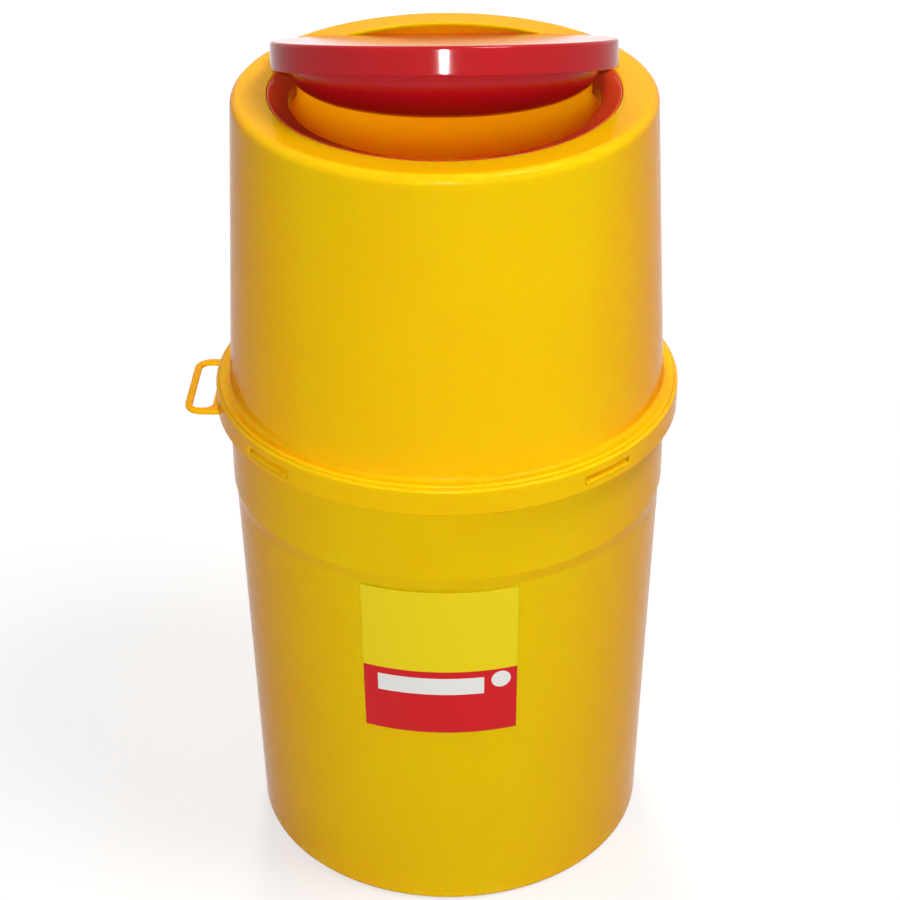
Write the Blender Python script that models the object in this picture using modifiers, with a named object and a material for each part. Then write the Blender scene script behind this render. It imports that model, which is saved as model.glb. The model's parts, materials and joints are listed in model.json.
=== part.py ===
"""Sharps container of about 30 litres: a tapered bucket, a clipped hood and a tilting inlet lid.

Metres, +Z up. The container stands on z = 0 with its axis on Z, its front towards -Y
and the finger loop of its hood towards -X. The lid is stored open, as it is left in use.
"""
from math import asin, atan2, cos, degrees, pi, radians, sin, sqrt

import bmesh
import bpy

# General
SEGMENTS = 72
GAP = 0.0003

# Bucket
BASE_R = 0.1333
WAIST_R = 0.1411
BAND_R = 0.1427
BUCKET_WALL = 0.0025
BUCKET_FLOOR = 0.003
BUCKET_H = 0.3378
BAND_Z = 0.262
BAND_STEP_H = 0.008
BASE_ROUND = 0.004
FOOT_W = 0.014
FOOT_H = 0.0015
PAD_R = 0.040
RIM_W = 0.0052
RIM_T = 0.003

# Hood
HOOD_TOP_Z = 0.5371
HOOD_FOOT_R = 0.1412
HOOD_TOP_R = 0.1313
HOOD_WALL = 0.0025
HOOD_PLATE = 0.0028
HOOD_ROUND = 0.006
LEDGE_T = 0.0036
LEDGE_W = 0.0071
GROOVE_D = 0.0018
SKIRT_R = 0.1507
SKIRT_WALL = 0.0022
SKIRT_H = 0.0175
SKIRT_ROUND = 0.003
SPIGOT_WALL = 0.002
SPIGOT_H = 0.012

# Clips between hood and bucket
CLIP_COUNT = 4
CLIP_FIRST_DEG = -48.5
CLIP_WINDOW_DEG = 15.0
CLIP_WINDOW_H = 0.0068
CLIP_WINDOW_RISE = 0.0042
CLIP_LUG_H = 0.0036
CLIP_SIDE_GAP_DEG = 0.6

# Finger loop
LOOP_DEG = -2.6
LOOP_REACH = 0.0193
LOOP_HALF = 0.0348
LOOP_BAR = 0.0048
LOOP_T = 0.0034
LOOP_ROUND = 0.0115

# Inlet collar
MOUTH_R = 0.1086
COLLAR_WALL = 0.002
COLLAR_H = 0.012
SHOULDER_W = 0.0039
SHOULDER_T = 0.0025
FUNNEL_W = 0.0128
FUNNEL_DROP = 0.0046
THROAT_H = 0.016
RELIEF_AHEAD = 0.014
COLLAR_END_BEHIND = 0.014

# Lid
LID_EDGE_GAP = 0.0027
LID_H = 0.017
LID_WALL = 0.0035
LID_PLATE = 0.0025
LID_ROUND = 0.002
LID_TILT_DEG = 19.3
LID_SEAT_GAP = 0.0004
PIVOT_Y = 0.040
DISH_MARGIN = 0.0119
DISH_DEPTH = 0.0302
DISH_FULLNESS = 2.25
DISH_WALL = 0.002
DISH_INSET = 0.0008
DISH_SEAT_W = 0.0028

# Pivot
PIN_R = 0.0025
PIN_HEAD_R = 0.0042
PIN_HEAD_T = 0.002
BOSS_R = 0.0048
BOSS_LENGTH = 0.0088
LUG_HALF = 0.006
LUG_T = 0.0035
LUG_LID_GAP = 0.0013
LUG_PAD_T = 0.0025
LUG_PAD_W = 0.005
LUG_PAD_DEG = 10.0
LUG_PAD_STEP_DEG = 0.6

# Label
LABEL_CENTRE_DEG = -2.5
LABEL_W = 0.099
LABEL_LOW_Z = 0.1475
LABEL_HIGH_Z = 0.2595
LABEL_T = 0.0004

# Places that follow from the sizes above
SEAT_Z = BUCKET_H + GAP
LEDGE_Z = SEAT_Z + LEDGE_T
SKIRT_TOP_Z = LEDGE_Z - GROOVE_D
SKIRT_LOW_Z = SKIRT_TOP_Z - SKIRT_H
WINDOW_LOW_Z = SKIRT_LOW_Z + CLIP_WINDOW_RISE
MOUTH_HOLE_R = MOUTH_R + GAP
THROAT_R = MOUTH_R - FUNNEL_W
LID_R = MOUTH_R - LID_EDGE_GAP
DISH_R = LID_R - DISH_MARGIN
RELIEF_Y = PIVOT_Y - RELIEF_AHEAD
COLLAR_END_Y = PIVOT_Y + COLLAR_END_BEHIND
FUNNEL_AT_LID = -FUNNEL_DROP * (MOUTH_R - LID_R) / (MOUTH_R - THROAT_R)
PIVOT_Z = HOOD_TOP_Z + FUNNEL_AT_LID + LID_SEAT_GAP + LID_H / 2
LUG_X = sqrt(LID_R ** 2 - (PIVOT_Y - LUG_HALF) ** 2) + LUG_LID_GAP
BOSS_OUT_X = sqrt(LID_R ** 2 - (PIVOT_Y + BOSS_R) ** 2) - GAP


def bucket_r(z):
    """Outer radius of the bucket's wall below its upper band."""
    return BASE_R + (WAIST_R - BASE_R) * (z - BASE_ROUND) / (BAND_Z - BASE_ROUND)


def hood_r(z):
    """Outer radius of the hood's wall."""
    return HOOD_FOOT_R + (HOOD_TOP_R - HOOD_FOOT_R) * (z - LEDGE_Z) / (HOOD_TOP_Z - LEDGE_Z)


def arc(centre, radius, start_deg, end_deg, count):
    """Points of an arc, both ends included."""
    points = []
    for i in range(count + 1):
        angle = radians(start_deg + (end_deg - start_deg) * i / count)
        points.append((centre[0] + radius * cos(angle), centre[1] + radius * sin(angle)))
    return points


def make_collection(name):
    collection = bpy.data.collections.new(name)
    bpy.context.scene.collection.children.link(collection)
    return collection


for old in list(bpy.data.objects):
    bpy.data.objects.remove(old, do_unlink=True)
for old in list(bpy.data.collections):
    bpy.data.collections.remove(old)
PARTS = make_collection("sharps_container")
TOOLS = make_collection("cutters")


def make_material(name, colour, roughness):
    """Principled plastic with a linear base colour."""
    material = bpy.data.materials.new(name)
    material.use_nodes = True
    shader = material.node_tree.nodes["Principled BSDF"]
    shader.inputs["Base Color"].default_value = (*colour, 1.0)
    shader.inputs["Roughness"].default_value = roughness
    shader.inputs["Metallic"].default_value = 0.0
    return material


YELLOW = make_material("yellow_polypropylene", (0.82, 0.52, 0.013), 0.38)
RED = make_material("red_polypropylene", (0.44, 0.009, 0.012), 0.28)
VINYL = make_material("label_vinyl", (0.78, 0.60, 0.02), 0.45)


def make_part(name, mesh, material):
    """A sub-part in the object's collection."""
    part = bpy.data.objects.new(name, mesh)
    PARTS.objects.link(part)
    part.data.materials.append(material)
    return part


def make_tool(name, mesh):
    """A shape that is only cut from, or joined to, a sub-part."""
    tool = bpy.data.objects.new(name, mesh)
    TOOLS.objects.link(tool)
    tool.hide_render = True
    tool.display_type = 'WIRE'
    return tool


def profile_mesh(name, points, closed):
    """Edges through (radius, height) points in the XZ plane."""
    bm = bmesh.new()
    verts = [bm.verts.new((r, 0.0, z)) for r, z in points]
    for a, b in zip(verts, verts[1:]):
        bm.edges.new((a, b))
    if closed:
        bm.edges.new((verts[-1], verts[0]))
    mesh = bpy.data.meshes.new(name)
    bm.to_mesh(mesh)
    bm.free()
    return mesh


def turn(part, steps=SEGMENTS, angle=2 * pi):
    """Screw modifier that turns the profile about Z."""
    screw = part.modifiers.new("turn", 'SCREW')
    screw.axis = 'Z'
    screw.angle = angle
    screw.steps = steps
    screw.render_steps = steps
    screw.use_merge_vertices = angle >= 2 * pi
    screw.merge_threshold = 0.00001
    screw.use_smooth_shade = True


def combine(part, tool, operation):
    boolean = part.modifiers.new(tool.name, 'BOOLEAN')
    boolean.operation = operation
    boolean.object = tool


def plate_mesh(name, outlines, thickness):
    """Closed plate, centred on z = 0, from 2-D outlines: the first is the edge, the rest are holes."""
    curve = bpy.data.curves.new(name, 'CURVE')
    curve.dimensions = '2D'
    curve.fill_mode = 'BOTH'
    curve.extrude = thickness / 2
    for outline in outlines:
        spline = curve.splines.new('POLY')
        spline.points.add(len(outline) - 1)
        for point, (x, y) in zip(spline.points, outline):
            point.co = (x, y, 0.0, 1.0)
        spline.use_cyclic_u = True
    holder = bpy.data.objects.new(name, curve)
    TOOLS.objects.link(holder)
    bpy.context.view_layer.update()
    evaluated = holder.evaluated_get(bpy.context.evaluated_depsgraph_get())
    mesh = bpy.data.meshes.new_from_object(evaluated)
    bpy.data.objects.remove(holder, do_unlink=True)
    bm = bmesh.new()
    bm.from_mesh(mesh)
    bmesh.ops.remove_doubles(bm, verts=bm.verts, dist=0.000001)
    bmesh.ops.recalc_face_normals(bm, faces=bm.faces)
    bm.to_mesh(mesh)
    bm.free()
    return mesh


def plate_tool(name, outlines, low_z, high_z):
    tool = make_tool(name, plate_mesh(name, outlines, high_z - low_z))
    tool.location.z = (low_z + high_z) / 2
    return tool


def arc_outline(inner, outer, centre_deg, span_deg, count=5):
    """Sector of a ring, with angles measured about Z from the front, positive towards +X."""
    start = centre_deg - span_deg / 2 - 90
    end = start + span_deg
    return arc((0, 0), outer, start, end, count) + arc((0, 0), inner, end, start, count)


def rounded_box_outline(low, high, radius, count=4):
    (x0, y0), (x1, y1) = low, high
    corners = ((x1 - radius, y1 - radius, 0), (x0 + radius, y1 - radius, 90),
               (x0 + radius, y0 + radius, 180), (x1 - radius, y0 + radius, 270))
    points = []
    for x, y, start in corners:
        points += arc((x, y), radius, start, start + 90, count)
    return points


def rod_tool(name, radius, x0, x1, y, z, sides=24):
    """Cylinder along X."""
    bm = bmesh.new()
    bmesh.ops.create_cone(bm, cap_ends=True, segments=sides, radius1=radius, radius2=radius,
                          depth=abs(x1 - x0))
    mesh = bpy.data.meshes.new(name)
    bm.to_mesh(mesh)
    bm.free()
    tool = make_tool(name, mesh)
    tool.rotation_euler.y = pi / 2
    tool.location = ((x0 + x1) / 2, y, z)
    return tool


CLIP_ANGLES = [CLIP_FIRST_DEG + 360 / CLIP_COUNT * i for i in range(CLIP_COUNT)]


def make_bucket():
    """Tapered bucket with a foot ring, a stiffer upper band, a rim flange and four clip lugs."""
    rim_r = BAND_R + RIM_W
    inner_r = BAND_R - BUCKET_WALL
    floor_z = FOOT_H + BUCKET_FLOOR
    profile = [(0, floor_z), (bucket_r(floor_z) - BUCKET_WALL, floor_z),
               (WAIST_R - BUCKET_WALL, BAND_Z), (inner_r, BAND_Z + BAND_STEP_H), (inner_r, BUCKET_H),
               (rim_r, BUCKET_H), (rim_r, BUCKET_H - RIM_T), (BAND_R, BUCKET_H - RIM_T),
               (BAND_R, BAND_Z + BAND_STEP_H), (WAIST_R, BAND_Z)]
    profile += arc((BASE_R - BASE_ROUND, BASE_ROUND), BASE_ROUND, 0, -90, 3)
    foot_r = BASE_R - BASE_ROUND - FOOT_W
    profile += [(foot_r, 0), (foot_r - FOOT_H, FOOT_H), (PAD_R + FOOT_H, FOOT_H), (PAD_R, 0), (0, 0)]
    bucket = make_part("bucket", profile_mesh("bucket", profile, False), YELLOW)
    turn(bucket)
    lug_span = CLIP_WINDOW_DEG - 2 * CLIP_SIDE_GAP_DEG
    lug_low_z = WINDOW_LOW_Z + GAP
    for i, angle in enumerate(CLIP_ANGLES):
        outline = arc_outline(BAND_R - BUCKET_WALL / 2, SKIRT_R - GAP, angle, lug_span)
        lug = plate_tool(f"clip_lug_{i}", [outline], lug_low_z, lug_low_z + CLIP_LUG_H)
        combine(bucket, lug, 'UNION')
    return bucket


def finger_loop_outlines():
    """Edge and hole of the flat loop, whose inner edge lies inside the skirt's wall."""
    outer_x = -(SKIRT_R + LOOP_REACH)
    root_r = SKIRT_R - SKIRT_WALL / 2
    root_deg = degrees(asin(LOOP_HALF / root_r))
    corner = (outer_x + LOOP_ROUND, LOOP_HALF - LOOP_ROUND)
    edge = arc(corner, LOOP_ROUND, 90, 180, 5)
    edge += arc((corner[0], -corner[1]), LOOP_ROUND, 180, 270, 5)
    edge += arc((0, 0), root_r, 180 + root_deg, 180 - root_deg, 6)
    hole = rounded_box_outline((outer_x + LOOP_BAR, LOOP_BAR - LOOP_HALF),
                               (-SKIRT_R - SKIRT_WALL / 2, LOOP_HALF - LOOP_BAR), LOOP_ROUND / 2)
    return [edge, hole]


def make_hood():
    """Hood with a flat top, a flange and skirt over the bucket's rim, clip windows and a finger loop."""
    plate_z = HOOD_TOP_Z - HOOD_PLATE
    round_z = HOOD_TOP_Z - HOOD_ROUND
    round_r = hood_r(round_z) - HOOD_ROUND
    spigot_r = BAND_R - BUCKET_WALL - GAP
    skirt_in = SKIRT_R - SKIRT_WALL
    ledge_r = HOOD_FOOT_R + LEDGE_W
    profile = [(MOUTH_HOLE_R, plate_z), (MOUTH_HOLE_R, HOOD_TOP_Z)]
    profile += arc((round_r, round_z), HOOD_ROUND, 90, 0, 4)
    profile += [(HOOD_FOOT_R, LEDGE_Z), (ledge_r, LEDGE_Z), (ledge_r, SKIRT_TOP_Z)]
    profile += arc((SKIRT_R - SKIRT_ROUND, SKIRT_TOP_Z - SKIRT_ROUND), SKIRT_ROUND, 75, 0, 3)
    profile += [(SKIRT_R, SKIRT_LOW_Z), (skirt_in, SKIRT_LOW_Z), (skirt_in, SEAT_Z), (spigot_r, SEAT_Z),
                (spigot_r, SEAT_Z - SPIGOT_H), (spigot_r - SPIGOT_WALL, SEAT_Z - SPIGOT_H),
                (spigot_r - SPIGOT_WALL, SEAT_Z), (hood_r(plate_z) - HOOD_WALL, plate_z)]
    hood = make_part("hood", profile_mesh("hood", profile, True), YELLOW)
    turn(hood)
    loop = plate_tool("finger_loop", finger_loop_outlines(), SKIRT_LOW_Z, SKIRT_LOW_Z + LOOP_T)
    loop.rotation_euler.z = radians(LOOP_DEG)
    combine(hood, loop, 'UNION')
    for i, angle in enumerate(CLIP_ANGLES):
        outline = arc_outline(skirt_in - SKIRT_WALL, SKIRT_R + SKIRT_WALL, angle, CLIP_WINDOW_DEG)
        window = plate_tool(f"clip_window_{i}", [outline], WINDOW_LOW_Z, WINDOW_LOW_Z + CLIP_WINDOW_H)
        combine(hood, window, 'DIFFERENCE')
    return hood


def make_collar():
    """Inlet collar: a horseshoe with a funnel lip and throat in front and a pivot lug near each end."""
    band_in = MOUTH_R - COLLAR_WALL
    shoulder_z = -HOOD_PLATE - GAP
    slope = FUNNEL_DROP / (MOUTH_R - THROAT_R)
    tube_out = THROAT_R + COLLAR_WALL
    under = -COLLAR_WALL - COLLAR_WALL * slope
    profile = [(MOUTH_R, 0), (MOUTH_R, shoulder_z), (MOUTH_R + SHOULDER_W, shoulder_z),
               (MOUTH_R + SHOULDER_W, shoulder_z - SHOULDER_T), (MOUTH_R, shoulder_z - SHOULDER_T),
               (MOUTH_R, -COLLAR_H), (band_in, -COLLAR_H), (band_in, under - COLLAR_WALL * slope),
               (tube_out, under - (MOUTH_R - tube_out) * slope), (tube_out, -THROAT_H), (THROAT_R, -THROAT_H),
               (THROAT_R, -FUNNEL_DROP)]
    collar = make_part("collar_ring", profile_mesh("collar_ring", profile, True), RED)
    collar.location.z = HOOD_TOP_Z
    turn(collar)
    chord_deg = degrees(atan2(RELIEF_Y, sqrt(band_in ** 2 - RELIEF_Y ** 2)))
    relief_edge = arc((0, 0), band_in, chord_deg, 180 - chord_deg, 28)
    relief = plate_tool("rear_relief", [relief_edge], HOOD_TOP_Z - 2 * THROAT_H, HOOD_TOP_Z + THROAT_H)
    combine(collar, relief, 'DIFFERENCE')
    rear_r = MOUTH_R + 2 * SHOULDER_W
    rear_edge = [(-rear_r, COLLAR_END_Y), (rear_r, COLLAR_END_Y), (rear_r, rear_r), (-rear_r, rear_r)]
    rear = plate_tool("rear_gap", [rear_edge], HOOD_TOP_Z - 2 * THROAT_H, HOOD_TOP_Z + THROAT_H)
    combine(collar, rear, 'DIFFERENCE')
    pad_z = HOOD_TOP_Z + GAP
    for side, sign in (("left", -1), ("right", 1)):
        lug_mid_x = sign * (LUG_X + LUG_T / 2)
        pad_deg = sign * (90 + degrees(atan2(PIVOT_Y, LUG_X + LUG_T)))
        foot = plate_tool(f"pad_foot_{side}", [arc_outline(band_in, MOUTH_R, pad_deg, LUG_PAD_DEG)],
                          HOOD_TOP_Z - COLLAR_WALL, pad_z + LUG_PAD_T)
        combine(collar, foot, 'UNION')
        pad_edge = arc_outline(band_in, band_in + LUG_PAD_W, pad_deg, LUG_PAD_DEG - LUG_PAD_STEP_DEG)
        pad = plate_tool(f"pad_{side}", [pad_edge], pad_z, pad_z + LUG_PAD_T - GAP)
        combine(collar, pad, 'UNION')
        lug_height = PIVOT_Z - pad_z - LUG_PAD_T / 2
        lug_edge = arc((0, 0), LUG_HALF, 90, -90, 10) + [(-lug_height, -LUG_HALF), (-lug_height, LUG_HALF)]
        lug = make_tool(f"pivot_lug_{side}", plate_mesh(f"pivot_lug_{side}", [lug_edge], LUG_T))
        lug.rotation_euler.y = -pi / 2
        lug.location = (lug_mid_x, PIVOT_Y, PIVOT_Z)
        combine(collar, lug, 'UNION')
        bore = rod_tool(f"lug_bore_{side}", PIN_R + GAP, lug_mid_x - LUG_T, lug_mid_x + LUG_T,
                        PIVOT_Y, PIVOT_Z)
        combine(collar, bore, 'DIFFERENCE')
    return collar


def dish_curve(radius, rim_z, count=8):
    """Superellipse from the dish's rim down to its lowest point on the axis."""
    points = [(radius, rim_z)]
    for i in range(1, count):
        angle = pi / 2 * i / count
        out = cos(angle) ** (2 / DISH_FULLNESS)
        down = sin(angle) ** (2 / DISH_FULLNESS)
        points.append((radius * out, rim_z - DISH_DEPTH * down))
    points.append((0, rim_z - DISH_DEPTH))
    return points


def make_lid():
    """Tilting lid of two mouldings, a capped rim and a dished underside, on a pivot behind its centre."""
    pivot = bpy.data.objects.new("lid_pivot", None)
    PARTS.objects.link(pivot)
    pivot.location = (0, PIVOT_Y, PIVOT_Z)
    pivot.rotation_euler.x = -radians(LID_TILT_DEG)
    top = LID_H / 2
    low = -LID_H / 2
    seat_r = LID_R - DISH_SEAT_W
    seat_z = low + DISH_INSET + DISH_WALL + GAP
    inner_r = LID_R - LID_WALL
    profile = [(0, top)] + arc((LID_R - LID_ROUND, top - LID_ROUND), LID_ROUND, 90, 0, 4)
    profile += [(LID_R, low), (seat_r, low), (seat_r, seat_z), (inner_r, seat_z),
                (inner_r, top - LID_PLATE), (0, top - LID_PLATE)]
    cap = make_part("lid_cap", profile_mesh("lid_cap", profile, False), RED)
    turn(cap)
    flange_top = low + DISH_INSET + DISH_WALL
    flange_low = low + DISH_INSET
    dish_edge = dish_curve(DISH_R - DISH_WALL, flange_top)[::-1]
    dish_edge += [(seat_r - GAP, flange_top), (seat_r - GAP, flange_low)]
    dish_edge += dish_curve(DISH_R, flange_low)
    dish = make_part("lid_dish", profile_mesh("lid_dish", dish_edge, False), RED)
    turn(dish)
    for moulding in (cap, dish):
        moulding.parent = pivot
        moulding.location.y = -PIVOT_Y
    for side, sign in (("left", -1), ("right", 1)):
        boss_in_x = BOSS_OUT_X - BOSS_LENGTH
        boss = rod_tool(f"boss_{side}", BOSS_R, sign * boss_in_x, sign * BOSS_OUT_X, 0, 0)
        bore = rod_tool(f"boss_bore_{side}", PIN_R + GAP, sign * (boss_in_x - LUG_T), sign * LID_R, 0, 0)
        for tool, operation in ((boss, 'UNION'), (bore, 'DIFFERENCE')):
            tool.parent = pivot
            combine(cap, tool, operation)
        make_pin(side, sign, pivot, boss_in_x)
    return pivot


def make_pin(side, sign, pivot, inner_x):
    """Headed pivot pin, pushed in from outside the collar's lug."""
    shoulder_x = LUG_X + LUG_T + GAP
    profile = [(0, shoulder_x + PIN_HEAD_T), (PIN_HEAD_R, shoulder_x + PIN_HEAD_T), (PIN_HEAD_R, shoulder_x),
               (PIN_R, shoulder_x), (PIN_R, inner_x), (0, inner_x)]
    name = f"pivot_pin_{side}"
    pin = make_part(name, profile_mesh(name, profile, False), RED)
    turn(pin, 24)
    pin.parent = pivot
    pin.rotation_euler.y = sign * pi / 2
    return pin


def make_label():
    """Printed sticker that follows the bucket's wall."""
    low_r = bucket_r(LABEL_LOW_Z) + GAP
    high_r = bucket_r(LABEL_HIGH_Z) + GAP
    span = LABEL_W / low_r
    mesh = profile_mesh("label_sticker", [(high_r, LABEL_HIGH_Z), (low_r, LABEL_LOW_Z)], False)
    label = make_part("label_sticker", mesh, VINYL)
    label.rotation_euler.z = radians(LABEL_CENTRE_DEG - 90) - span / 2
    turn(label, 14, span)
    solidify = label.modifiers.new("thickness", 'SOLIDIFY')
    solidify.thickness = LABEL_T
    solidify.offset = 1.0
    solidify.use_even_offset = True
    return label


make_bucket()
make_hood()
make_collar()
make_lid()
make_label()
for finished in PARTS.objects:
    if finished.type == 'MESH':
        finished.data.shade_smooth()
        finished.data.set_sharp_from_angle(angle=radians(30))
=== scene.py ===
"""Looks of the sharps container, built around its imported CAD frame. Metres, +Z up, front towards -Y."""

import json
from math import asin, atan2, cos, degrees, pi, radians, sin, sqrt, tan

import bmesh
import bpy
from mathutils import Matrix, Vector


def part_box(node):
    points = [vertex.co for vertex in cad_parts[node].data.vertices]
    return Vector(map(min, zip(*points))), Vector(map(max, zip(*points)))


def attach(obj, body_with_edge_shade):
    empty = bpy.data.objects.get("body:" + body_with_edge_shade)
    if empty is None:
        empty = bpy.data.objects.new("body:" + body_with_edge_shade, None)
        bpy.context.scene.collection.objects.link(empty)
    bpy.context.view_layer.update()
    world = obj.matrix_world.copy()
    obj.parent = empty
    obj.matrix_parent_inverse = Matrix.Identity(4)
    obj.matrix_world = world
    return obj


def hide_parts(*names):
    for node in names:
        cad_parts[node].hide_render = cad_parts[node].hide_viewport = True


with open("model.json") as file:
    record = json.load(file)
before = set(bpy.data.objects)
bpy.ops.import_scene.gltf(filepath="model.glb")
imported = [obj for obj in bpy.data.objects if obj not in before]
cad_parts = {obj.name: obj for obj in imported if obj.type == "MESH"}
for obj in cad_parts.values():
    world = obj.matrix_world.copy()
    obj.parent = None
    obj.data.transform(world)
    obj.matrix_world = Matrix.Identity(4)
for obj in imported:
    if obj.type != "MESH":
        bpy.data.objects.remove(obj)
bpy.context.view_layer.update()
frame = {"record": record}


# Bucket: the lower half of the container, which holds the waste.
# Polypropylene, injection moulded in one shot with its draught wider towards the rim, a stiffer upper band
# and four clip lugs that catch in the windows of the hood's skirt.
BUCKET_RIM_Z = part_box("bucket")[1][2]
BASE_R = 0.1333
WAIST_R = 0.1411
BAND_R = 0.1427
BAND_Z = 0.262
BAND_STEP_H = 0.008
BUCKET_WALL = 0.0025
BUCKET_FLOOR_Z = 0.0045
BASE_ROUND = 0.004
INNER_ROUND = 0.006
BAND_ROUND = 0.008
FOOT_W = 0.014
FOOT_H = 0.0015
PAD_R = 0.040
GATE_R = 0.006
GATE_DEPTH = 0.0008
RIM_W = 0.0052
RIM_T = 0.003
EDGE_ROUND = 0.0008
FIT_GAP = 0.0003
YELLOW_LIT = "#FFB606"
YELLOW_DEEP = "#FCAD06"
YELLOW_SCUFFED = "#F3CD46"
YELLOW_EDGE_SHADE = "#FF7E00"
TURN_STEPS = 240


def linear(code):
    """Linear RGBA of an sRGB hex colour."""
    parts = [int(code[i:i + 2], 16) / 255 for i in (1, 3, 5)]
    return (*(p / 12.92 if p <= 0.04045 else ((p + 0.055) / 1.055) ** 2.4 for p in parts), 1.0)


def add_node(tree, kind, inputs=None, **settings):
    """A node with its settings; an input is a value, or the output socket that feeds it."""
    node = tree.nodes.new(kind)
    for name, value in settings.items():
        setattr(node, name, value)
    for socket, value in (inputs or {}).items():
        if isinstance(value, bpy.types.NodeSocket):
            tree.links.new(value, node.inputs[socket])
        else:
            node.inputs[socket].default_value = value
    return node


def arc(centre, radius, start_deg, end_deg, count):
    """Points of an arc, both ends included."""
    angles = [radians(start_deg + (end_deg - start_deg) * i / count) for i in range(count + 1)]
    return [(centre[0] + radius * cos(a), centre[1] + radius * sin(a)) for a in angles]


def rounded(corners, closed=False, steps=6, guard=0.0007):
    """Profile through (radius, height, fillet) corners, with an extra point beside each fillet.

    The extra points keep the flats of a smooth-shaded moulding flat."""
    count = len(corners)
    runs = []
    for i, (r, z, fillet) in enumerate(corners):
        here = Vector((r, z))
        if not fillet or (not closed and i in (0, count - 1)):
            runs.append([here])
            continue
        before = (Vector(corners[i - 1][:2]) - here).normalized()
        after = (Vector(corners[(i + 1) % count][:2]) - here).normalized()
        half = before.angle(after) / 2
        centre = here + (before + after).normalized() * fillet / sin(half)
        first = here + before * fillet / tan(half) - centre
        last = here + after * fillet / tan(half) - centre
        turn = atan2(first.x * last.y - first.y * last.x, first.dot(last))
        start = atan2(first.y, first.x)
        angles = [start + turn * k / steps for k in range(steps + 1)]
        runs.append([centre + fillet * Vector((cos(a), sin(a))) for a in angles])
    points = []
    for i, run in enumerate(runs):
        points += run
        if i + 1 < count or closed:
            gap = runs[(i + 1) % count][0] - run[-1]
            if gap.length > 4 * guard:
                points += [run[-1] + gap.normalized() * guard, run[-1] + gap - gap.normalized() * guard]
    return [tuple(p) for p in points]


def moulding_tree():
    """Geometry Nodes that turn a profile, given as a row of points in the XZ plane, about Z."""
    tree = bpy.data.node_groups.new("turned_moulding", 'GeometryNodeTree')
    sockets = {}
    for name, kind in (("Profile", 'NodeSocketGeometry'), ("Steps", 'NodeSocketInt'),
                       ("Closed", 'NodeSocketInt'), ("Plastic", 'NodeSocketMaterial')):
        sockets[name] = tree.interface.new_socket(name, in_out='INPUT', socket_type=kind).identifier
    tree.interface.new_socket("Moulding", in_out='OUTPUT', socket_type='NodeSocketGeometry')
    given = add_node(tree, 'NodeGroupInput').outputs
    size = add_node(tree, 'GeometryNodeAttributeDomainSize', {"Geometry": given["Profile"]}, component='MESH')
    profile_count = size.outputs["Point Count"]
    rings = add_node(tree, 'FunctionNodeIntegerMath', {0: profile_count, 1: given["Closed"]}, operation='ADD')
    columns = add_node(tree, 'FunctionNodeIntegerMath', {0: given["Steps"], 1: 1}, operation='ADD').outputs[0]
    grid = add_node(tree, 'GeometryNodeMeshGrid', {"Vertices X": rings.outputs[0], "Vertices Y": columns})
    index = add_node(tree, 'GeometryNodeInputIndex').outputs[0]
    row = add_node(tree, 'FunctionNodeIntegerMath', {0: index, 1: columns}, operation='DIVIDE_FLOOR')
    ring = add_node(tree, 'FunctionNodeIntegerMath', {0: row.outputs[0], 1: profile_count},
                    operation='MODULO')
    step = add_node(tree, 'FunctionNodeIntegerMath', {0: index, 1: columns}, operation='MODULO')
    share = add_node(tree, 'ShaderNodeMath', {0: step.outputs[0], 1: given["Steps"]}, operation='DIVIDE')
    angle = add_node(tree, 'ShaderNodeMath', {0: share.outputs[0], 1: 2 * pi},
                     operation='MULTIPLY').outputs[0]
    place = add_node(tree, 'GeometryNodeInputPosition').outputs[0]
    sample = add_node(tree, 'GeometryNodeSampleIndex', {"Geometry": given["Profile"], "Value": place,
                                                        "Index": ring.outputs[0]}, data_type='FLOAT_VECTOR')
    point = add_node(tree, 'ShaderNodeSeparateXYZ', {0: sample.outputs[0]}).outputs
    east = add_node(tree, 'ShaderNodeMath', {0: angle}, operation='COSINE').outputs[0]
    north = add_node(tree, 'ShaderNodeMath', {0: angle}, operation='SINE').outputs[0]
    x = add_node(tree, 'ShaderNodeMath', {0: point["X"], 1: east}, operation='MULTIPLY').outputs[0]
    y = add_node(tree, 'ShaderNodeMath', {0: point["X"], 1: north}, operation='MULTIPLY').outputs[0]
    spot = add_node(tree, 'ShaderNodeCombineXYZ', {"X": x, "Y": y, "Z": point["Z"]}).outputs[0]
    turned_grid = add_node(tree, 'GeometryNodeSetPosition', {"Geometry": grid.outputs[0], "Position": spot})
    sewn = add_node(tree, 'GeometryNodeMergeByDistance', {"Geometry": turned_grid.outputs[0],
                                                          "Distance": 1e-6})
    whole = add_node(tree, 'GeometryNodeRealizeInstances', {"Geometry": sewn.outputs[0]})
    painted = add_node(tree, 'GeometryNodeSetMaterial', {"Geometry": whole.outputs[0],
                                                         "Material": given["Plastic"]})
    add_node(tree, 'NodeGroupOutput', {0: painted.outputs[0]})
    return tree, sockets


MOULDING_TREE, MOULDING_SOCKETS = moulding_tree()


def evaluated_mesh(holder):
    """Plain mesh of an object's modifiers; the object itself is removed."""
    bpy.context.view_layer.update()
    mesh = bpy.data.meshes.new_from_object(holder.evaluated_get(bpy.context.evaluated_depsgraph_get()))
    bpy.data.objects.remove(holder, do_unlink=True)
    return mesh


def hold(name, mesh):
    """The mesh as an object of the scene."""
    holder = bpy.data.objects.new(name, mesh)
    bpy.context.scene.collection.objects.link(holder)
    return holder


def outward(mesh):
    """Merges doubles and turns the faces of a closed mesh outwards."""
    bm = bmesh.new()
    bm.from_mesh(mesh)
    bmesh.ops.remove_doubles(bm, verts=bm.verts, dist=1e-7)
    bmesh.ops.recalc_face_normals(bm, faces=bm.faces)
    bm.to_mesh(mesh)
    bm.free()
    return mesh


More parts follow.
